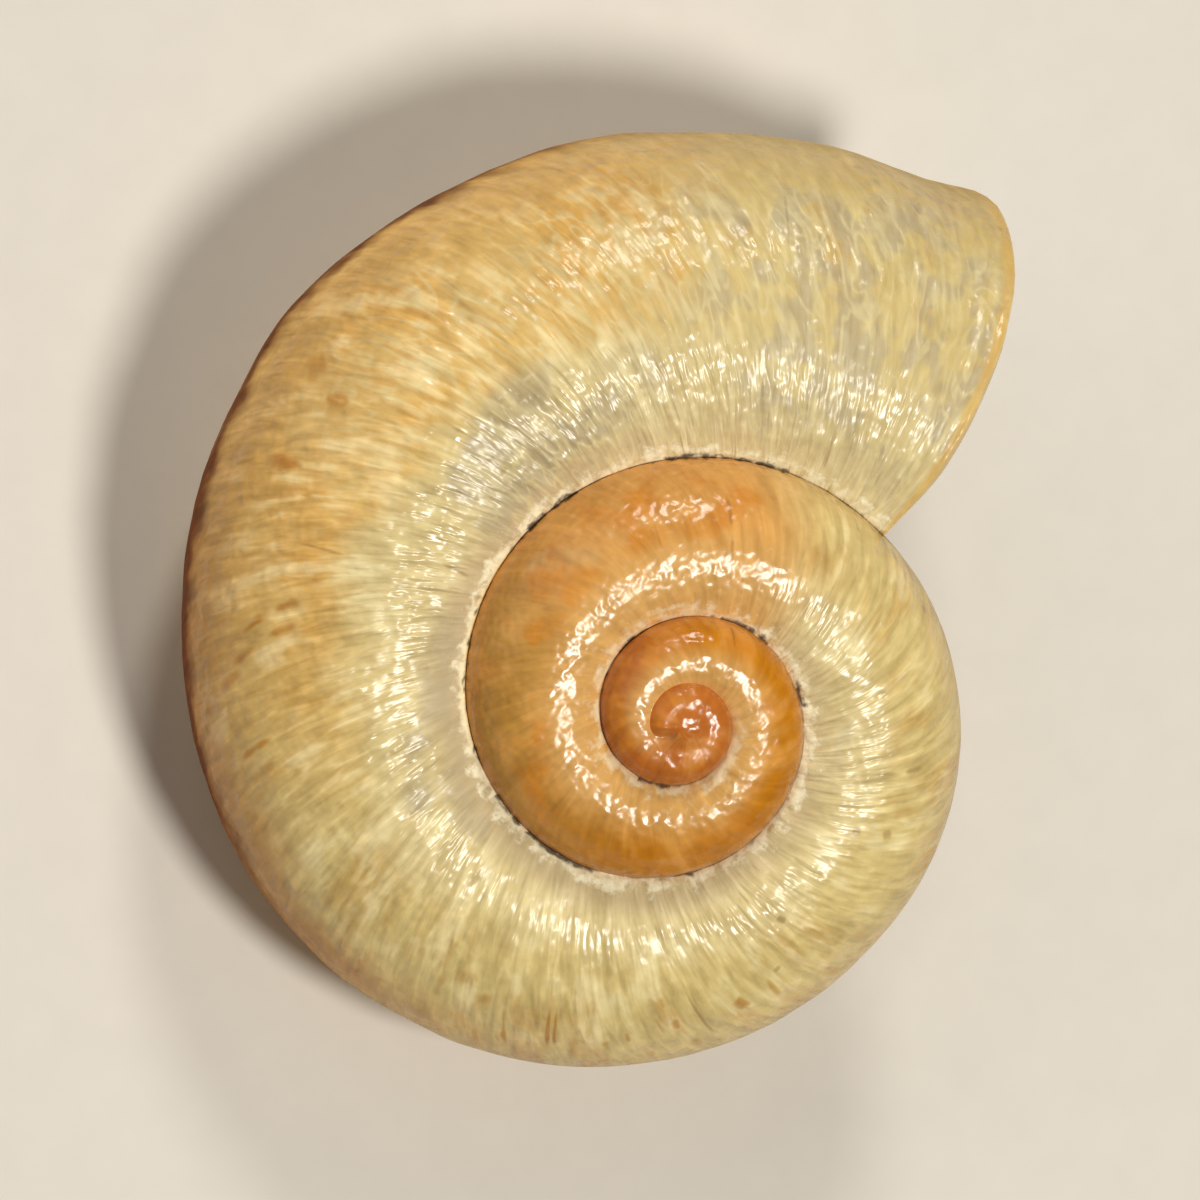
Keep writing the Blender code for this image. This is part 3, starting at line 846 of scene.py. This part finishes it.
def shellFinish():
    finish = Finish("snail_shell_glossy")
    growth, angle, inside = finish.parts("place")
    length, around, turns = finish.parts("grain")
    fromSeam, toSeam, gap = finish.parts("seam")
    grey, flame, _ = finish.parts("patches")
    ramp, hump, blend, awayFrom = finish.ramp, finish.hump, finish.blend, finish.awayFrom

    def grainNoise(along, across, seed, *character):
        vector = finish.node("ShaderNodeCombineXYZ", {}, {0: length * along, 1: around * across, 2: seed})
        return finish.noise(vector, 1.0, *character)

    fine, wide, veins, wrinkle = [grainNoise(*each) for each in stretched.values()]
    position = finish.node("ShaderNodeTexCoord", {}, {}, "Object")
    blotch, mottle, speck, pebble, bead = [finish.noise(position, *each) for each in even.values()]
    ragged = (blotch - 0.5) * 0.10
    t = turns + ragged
    a = angle + (blotch - 0.5) * 60.0

    def painted(colour, layers):  # tones laid over a colour one after the other, each by its own share
        for tone, share in layers:
            colour = blend(colour, tones[tone], share)
        return colour

    def lastWhorl():
        # straw, warmer and greyer in places, brown towards its side
        warm = hump(t, *zones["honeyTurns"]) * hump(a, *zones["honeyAngles"])
        warm = warm * (0.45 + ramp(blotch + (mottle - 0.5) * 0.4, 0.32, 0.68) * 0.5)
        greyish = (1.0 - ramp(t, 0.09, 0.18)) * hump(a, *zones["ashAngles"])
        greyish = greyish * (0.1 + ramp(mottle + (wide - 0.5) * 0.4, 0.42, 0.58) * 0.65)
        vein = 1.0 - ramp(awayFrom(veins, 0.5), 0.0, 0.09)
        vein = vein * (1.0 - ramp(t, 0.2, 0.34)) * ramp(a, 20, 50)
        body = painted(tones["straw"], (
            ("biscuit", ramp(blotch + (wide - 0.5) * 0.8, 0.47, 0.68) * 0.65),
            ("honey", warm),
            ("cream", ramp(a, 70, 90) * 0.8),
            ("pale", ramp(wide + mottle + (fine - 0.5) * 0.6, 1.0, 1.26) * 0.42),
            ("pearl", ramp(angle, 96, 110) * 0.7),
            ("shade", shaded * 0.75),
            ("ash", greyish),
            ("ash", ramp(grey + (mottle - 0.5) * 1.3, 0.2, 0.9) * 0.75),
            ("vein", vein * 0.55),
        ))
        side = painted(tones["drySide"], (
            ("honey", ramp(t, 0.1, 0.18)),
            ("brownSide", hump(t, *zones["brownTurns"])),
            ("drySide", ramp(t, 0.46, 0.58)),
            ("under", 1.0 - ramp(angle, -50, -8)),
        ))
        return blend(blend(body, side, (1.0 - ramp(a, 8, 48)) * 0.9), tones["rust"], rim * 0.95)

    def earlyWhorls():
        # orange-brown, sandy along the inside
        olive = hump(t, *zones["oliveTurns"]) * hump(a, *zones["oliveAngles"])
        scattered = ramp(blotch + mottle, 1.03, 1.2) * hump(a, *zones["flameAngles"])
        return painted(tones["amber"], (
            ("caramel", ramp(t, 1.12, 1.6)),
            ("olive", olive * 0.7),
            ("flame", ramp(flame + (mottle - 0.5) * 1.6, 0.15, 1.0) * 0.7),
            ("ember", ramp(t, 2.05, 2.3)),
            ("amber", ramp(mottle + (wide - 0.5) * 0.5, 0.48, 0.68) * 0.45),
            ("ember", ramp(blotch + (mottle - 0.5) * 0.6, 0.5, 0.64) * 0.22),
            ("sand", ramp(a, 54, 96) * (1.0 - ramp(turns, 2.3, 2.6)) * 0.85),
            ("smear", ramp(grey + (mottle - 0.5) * 1.6, 0.2, 1.1) * 0.6),
            ("flame", scattered * 0.5),
        ))

    def marked(kind, uneven):  # the marks of one kind, eaten away unevenly towards their edges
        along, across, strength = finish.parts(kind)
        ends = 1.0 - ramp(awayFrom(along, 0), 0.3, 1.15)
        full = (1.0 - ramp(awayFrom(across, 0), 0.0, 1.7)) * ends
        return ramp(full * 0.9 + uneven, 0.2, 1.0) * ramp(full, 0.0, 0.25) * strength

    # a band along the seam without lines, and the brown one around the outside
    shaded = (1.0 - ramp(fromSeam + (blotch - 0.5) * 1.4, 0.5, 1.3)) * hump(t, *zones["shadeTurns"])
    shaded = shaded * (1.0 - ramp(turns, 0.44, 0.54) * 0.5)
    rim = 1.0 - ramp(angle - ramp(t, 0.18, 0.4) * 5.0 + (wide + mottle - 1.0) * 16.0, -4, 12)
    rim = rim * hump(t, *zones["rimTurns"]) * ramp(angle + (blotch + mottle - 1.0) * 30.0, -38, -6)
    colour = blend(lastWhorl(), earlyWhorls(), ramp(growth + ragged * 0.4, 0.985, 1.06))

    # growth lines, weaker on the early whorls, beside the seam and near the lip
    lines = (fine - 0.5) * 0.85 + (wide - 0.5) * 0.45 + (mottle - 0.5) * 0.4 + (speck - 0.5) * 0.3
    nearLip = 1.0 - ramp(t, 0.12, 0.22)
    lines = lines * (1.0 - ramp(turns, 1.0, 1.08) * 0.3) * (1.0 - shaded * 0.6)
    lines = lines * (1.0 - nearLip * 0.4) + 1.0
    tint = {0: lines, 1: lines * 1.12 - 0.12, 2: lines * 1.35 - 0.35}
    colour = blend(colour, finish.node("ShaderNodeCombineXYZ", {}, tint), 1.0, "MULTIPLY")

    # stains, scattered and where they are seen
    scattered = ramp(wide + (fine - 0.5) * 0.7 + (mottle - 0.5) * 0.4, 0.54, 0.68)
    scattered = scattered * hump(a, *zones["stainAngles"]) * hump(turns, *zones["stainTurns"])
    colour = blend(colour, tones["stain"], scattered * 0.6, "MULTIPLY")
    colour = blend(colour, tones["stain"], marked("ochre", (fine + mottle - 1.0) * 1.8), "MULTIPLY")

    # beside the seam: chalky crumbs, a clean pale edge in one place, painted shade in its gaping stretches
    # and a painted dark line along it in others
    beside = finish.maths("MINIMUM", fromSeam, awayFrom(toSeam, 0))
    late = 1.0 - ramp(turns, 1.75, 2.0)
    crumbs = 1.0 - ramp(fromSeam + (speck - 0.5) * 1.6, 0.04, 0.46)
    crumbs = crumbs * (1.0 - ramp(turns, 1.0, 1.1) * 0.4) * late
    clean = (1.0 - ramp(fromSeam, 0.13, 0.22)) * hump(turns, *zones["cleanTurns"])
    # painted shade: the crevice tone darkens the groove where the seam gapes, and a thin line along it in
    # places
    crevice = 1.0 - ramp(beside + (speck - 0.5) * 0.5, 0.04, 0.17)
    crevice = crevice * ramp(gap + (mottle + bead - 1.0) * 1.8, 0.4, 0.9) * late
    thinSeamShade = (1.0 - ramp(beside, 0.015, 0.05)) * ramp(mottle + blotch, 0.8, 1.05) * late
    colour = painted(colour, (
        ("crack", marked("dark", (speck - 0.5) * 1.2) * 0.55),
        ("chalk", crumbs * 0.9),
        ("clean", clean * 0.95),
        # the crevice tone here is painted shade
        ("crevice", finish.maths("MAXIMUM", crevice, thinSeamShade * 0.7) * 0.9),
        ("gold", (1.0 - ramp(length, 0.12, 0.36)) * 0.6),
        ("lining", inside),
    ))

    # pebbly wrinkles on the last whorl, small beads on the early ones, and a dull lower side
    patchy = 0.6 + ramp(blotch + (wide - 0.5) * 0.5, 0.4, 0.62) * 0.6
    onBody = (pebble * 1.4 + wrinkle * 1.3 + fine * 0.3) * patchy * (1.0 - ramp(turns, 1.0, 1.06))
    onBody = onBody * (1.0 - shaded * 0.6)
    onEarly = bead * 0.85 * ramp(turns, 1.0, 1.06)
    height = onBody + onEarly - crumbs * 0.3
    depth = gloss["wrinkleHeight"]
    bump = finish.node("ShaderNodeBump", {}, {"Height": height, "Strength": 1.0, "Distance": depth})
    smoother = gloss["earlyRoughness"] - gloss["bodyRoughness"]
    roughness = gloss["bodyRoughness"] + ramp(turns, 1.0, 1.05) * smoother
    roughness = roughness + (mottle - 0.5) * 0.25 + crumbs * 0.3 + crevice * 0.3 + rim * 0.35
    both = {"Base Color": colour, "Normal": bump}
    glossy = {**both, "Roughness": roughness, "IOR": gloss["ior"]}
    dull = {**both, "Roughness": gloss["sideRoughness"], "Specular IOR Level": gloss["sideSpecular"]}
    glossy, dull = [finish.node("ShaderNodeBsdfPrincipled", {}, each) for each in (glossy, dull)]
    lowSide = (1.0 - ramp(angle, 0, 24)) * (1.0 - inside) * gloss["sideShare"]
    surface = finish.node("ShaderNodeMixShader", {}, {0: lowSide, 1: glossy, 2: dull})
    finish.node("ShaderNodeOutputMaterial", {}, {"Surface": surface})
    return finish.material


shell.data.materials.append(shellFinish())
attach(shell, "root")
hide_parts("shell")
print("shell painted")

view = {
    "turn": math.radians(41.0), "tipSeenTowards": (0.18, -0.12, 0.9763),
    "place": (-2.298, 3.284, 300.0),     # in the camera's own directions, from the coil's middle
    "halfWidth": 15.384, "sensor": 36.0, "clip": (0.01, 10.0),
}
studio = {
    "distance": 0.22,
    "lamps": (                            # direction in the camera's frame, width, watts
        ("key", (0.46, -0.24, 0.85), 0.048, 0.34),
        ("top", (0.20, 0.80, 0.56), 0.05, 0.17),
        ("fill", (-0.55, 0.60, 0.58), 0.30, 0.13),
    ),
    "lampTone": (1.0, 0.975, 0.92), "sky": (1.0, 0.98, 0.95), "skyStrength": 0.07,
    "floorWidth": 1.2, "floorTone": (230, 223, 212), "floorContrast": 6, "floorRoughness": 0.8,
    "floorGrain": {"Scale": 900.0, "Detail": 2.0},
}


def placeCamera():
    # turns the coil about its axis, then leans the axis to where the tip is seen
    axis = Vector(view["tipSeenTowards"]).normalized()
    lean = Vector((0.0, 0.0, 1.0)).rotation_difference(axis).to_matrix()
    coilToCamera = (lean @ Matrix.Rotation(view["turn"], 3, "Z")).to_4x4()
    place = coilToWorld @ coilToCamera.transposed() @ Matrix.Translation(view["place"])
    place.translation *= 0.001
    data = bpy.data.cameras.new("camera")
    data.sensor_width = view["sensor"]
    data.lens = view["sensor"] / 2.0 * view["place"][2] / view["halfWidth"]
    data.clip_start, data.clip_end = view["clip"]
    camera = newObject("camera", data)
    camera.matrix_world = place
    bpy.context.scene.camera = camera
    return place.to_3x3()


def makeStudio(cameraFrame):
    # round lamps at one distance, in directions that are turned with the camera
    middle = Vector((0.0, 0.0, cadHigh.z / 2.0))
    for name, direction, width, watts in studio["lamps"]:
        data = bpy.data.lights.new(name, "AREA")
        data.shape, data.size, data.energy = "DISK", width, watts
        data.color = studio["lampTone"]
        away = (cameraFrame @ Vector(direction)).normalized()
        turned = away.to_track_quat("Z", "Y").to_matrix().to_4x4()
        lamp = newObject(name, data)
        lamp.matrix_world = Matrix.Translation(middle + away * studio["distance"]) @ turned
    world = bpy.data.worlds.new("soft_sky")
    bpy.context.scene.world = world
    world.use_nodes = True
    background = world.node_tree.nodes["Background"]
    background.inputs["Color"].default_value = (*studio["sky"], 1.0)
    background.inputs["Strength"].default_value = studio["skyStrength"]
    half = studio["floorWidth"] / 2.0
    mesh = bpy.data.meshes.new("floor")
    corners = [(-half, -half, 0.0), (half, -half, 0.0), (half, half, 0.0), (-half, half, 0.0)]
    mesh.from_pydata(corners, [], [(0, 1, 2, 3)])
    floor = newObject("floor", mesh)
    paper = Finish("pale_paper")
    speckle = paper.node("ShaderNodeTexNoise", {}, studio["floorGrain"])
    darker = tuple(part - studio["floorContrast"] for part in studio["floorTone"])
    tone = paper.blend(studio["floorTone"], darker, speckle)
    finish = {"Base Color": tone, "Roughness": studio["floorRoughness"]}
    surface = paper.node("ShaderNodeBsdfPrincipled", {}, finish)
    paper.node("ShaderNodeOutputMaterial", {}, {"Surface": surface})
    mesh.materials.append(paper.material)


makeStudio(placeCamera())
bpy.context.scene.view_settings.view_transform = "Standard"
print("camera, lamps and floor placed")
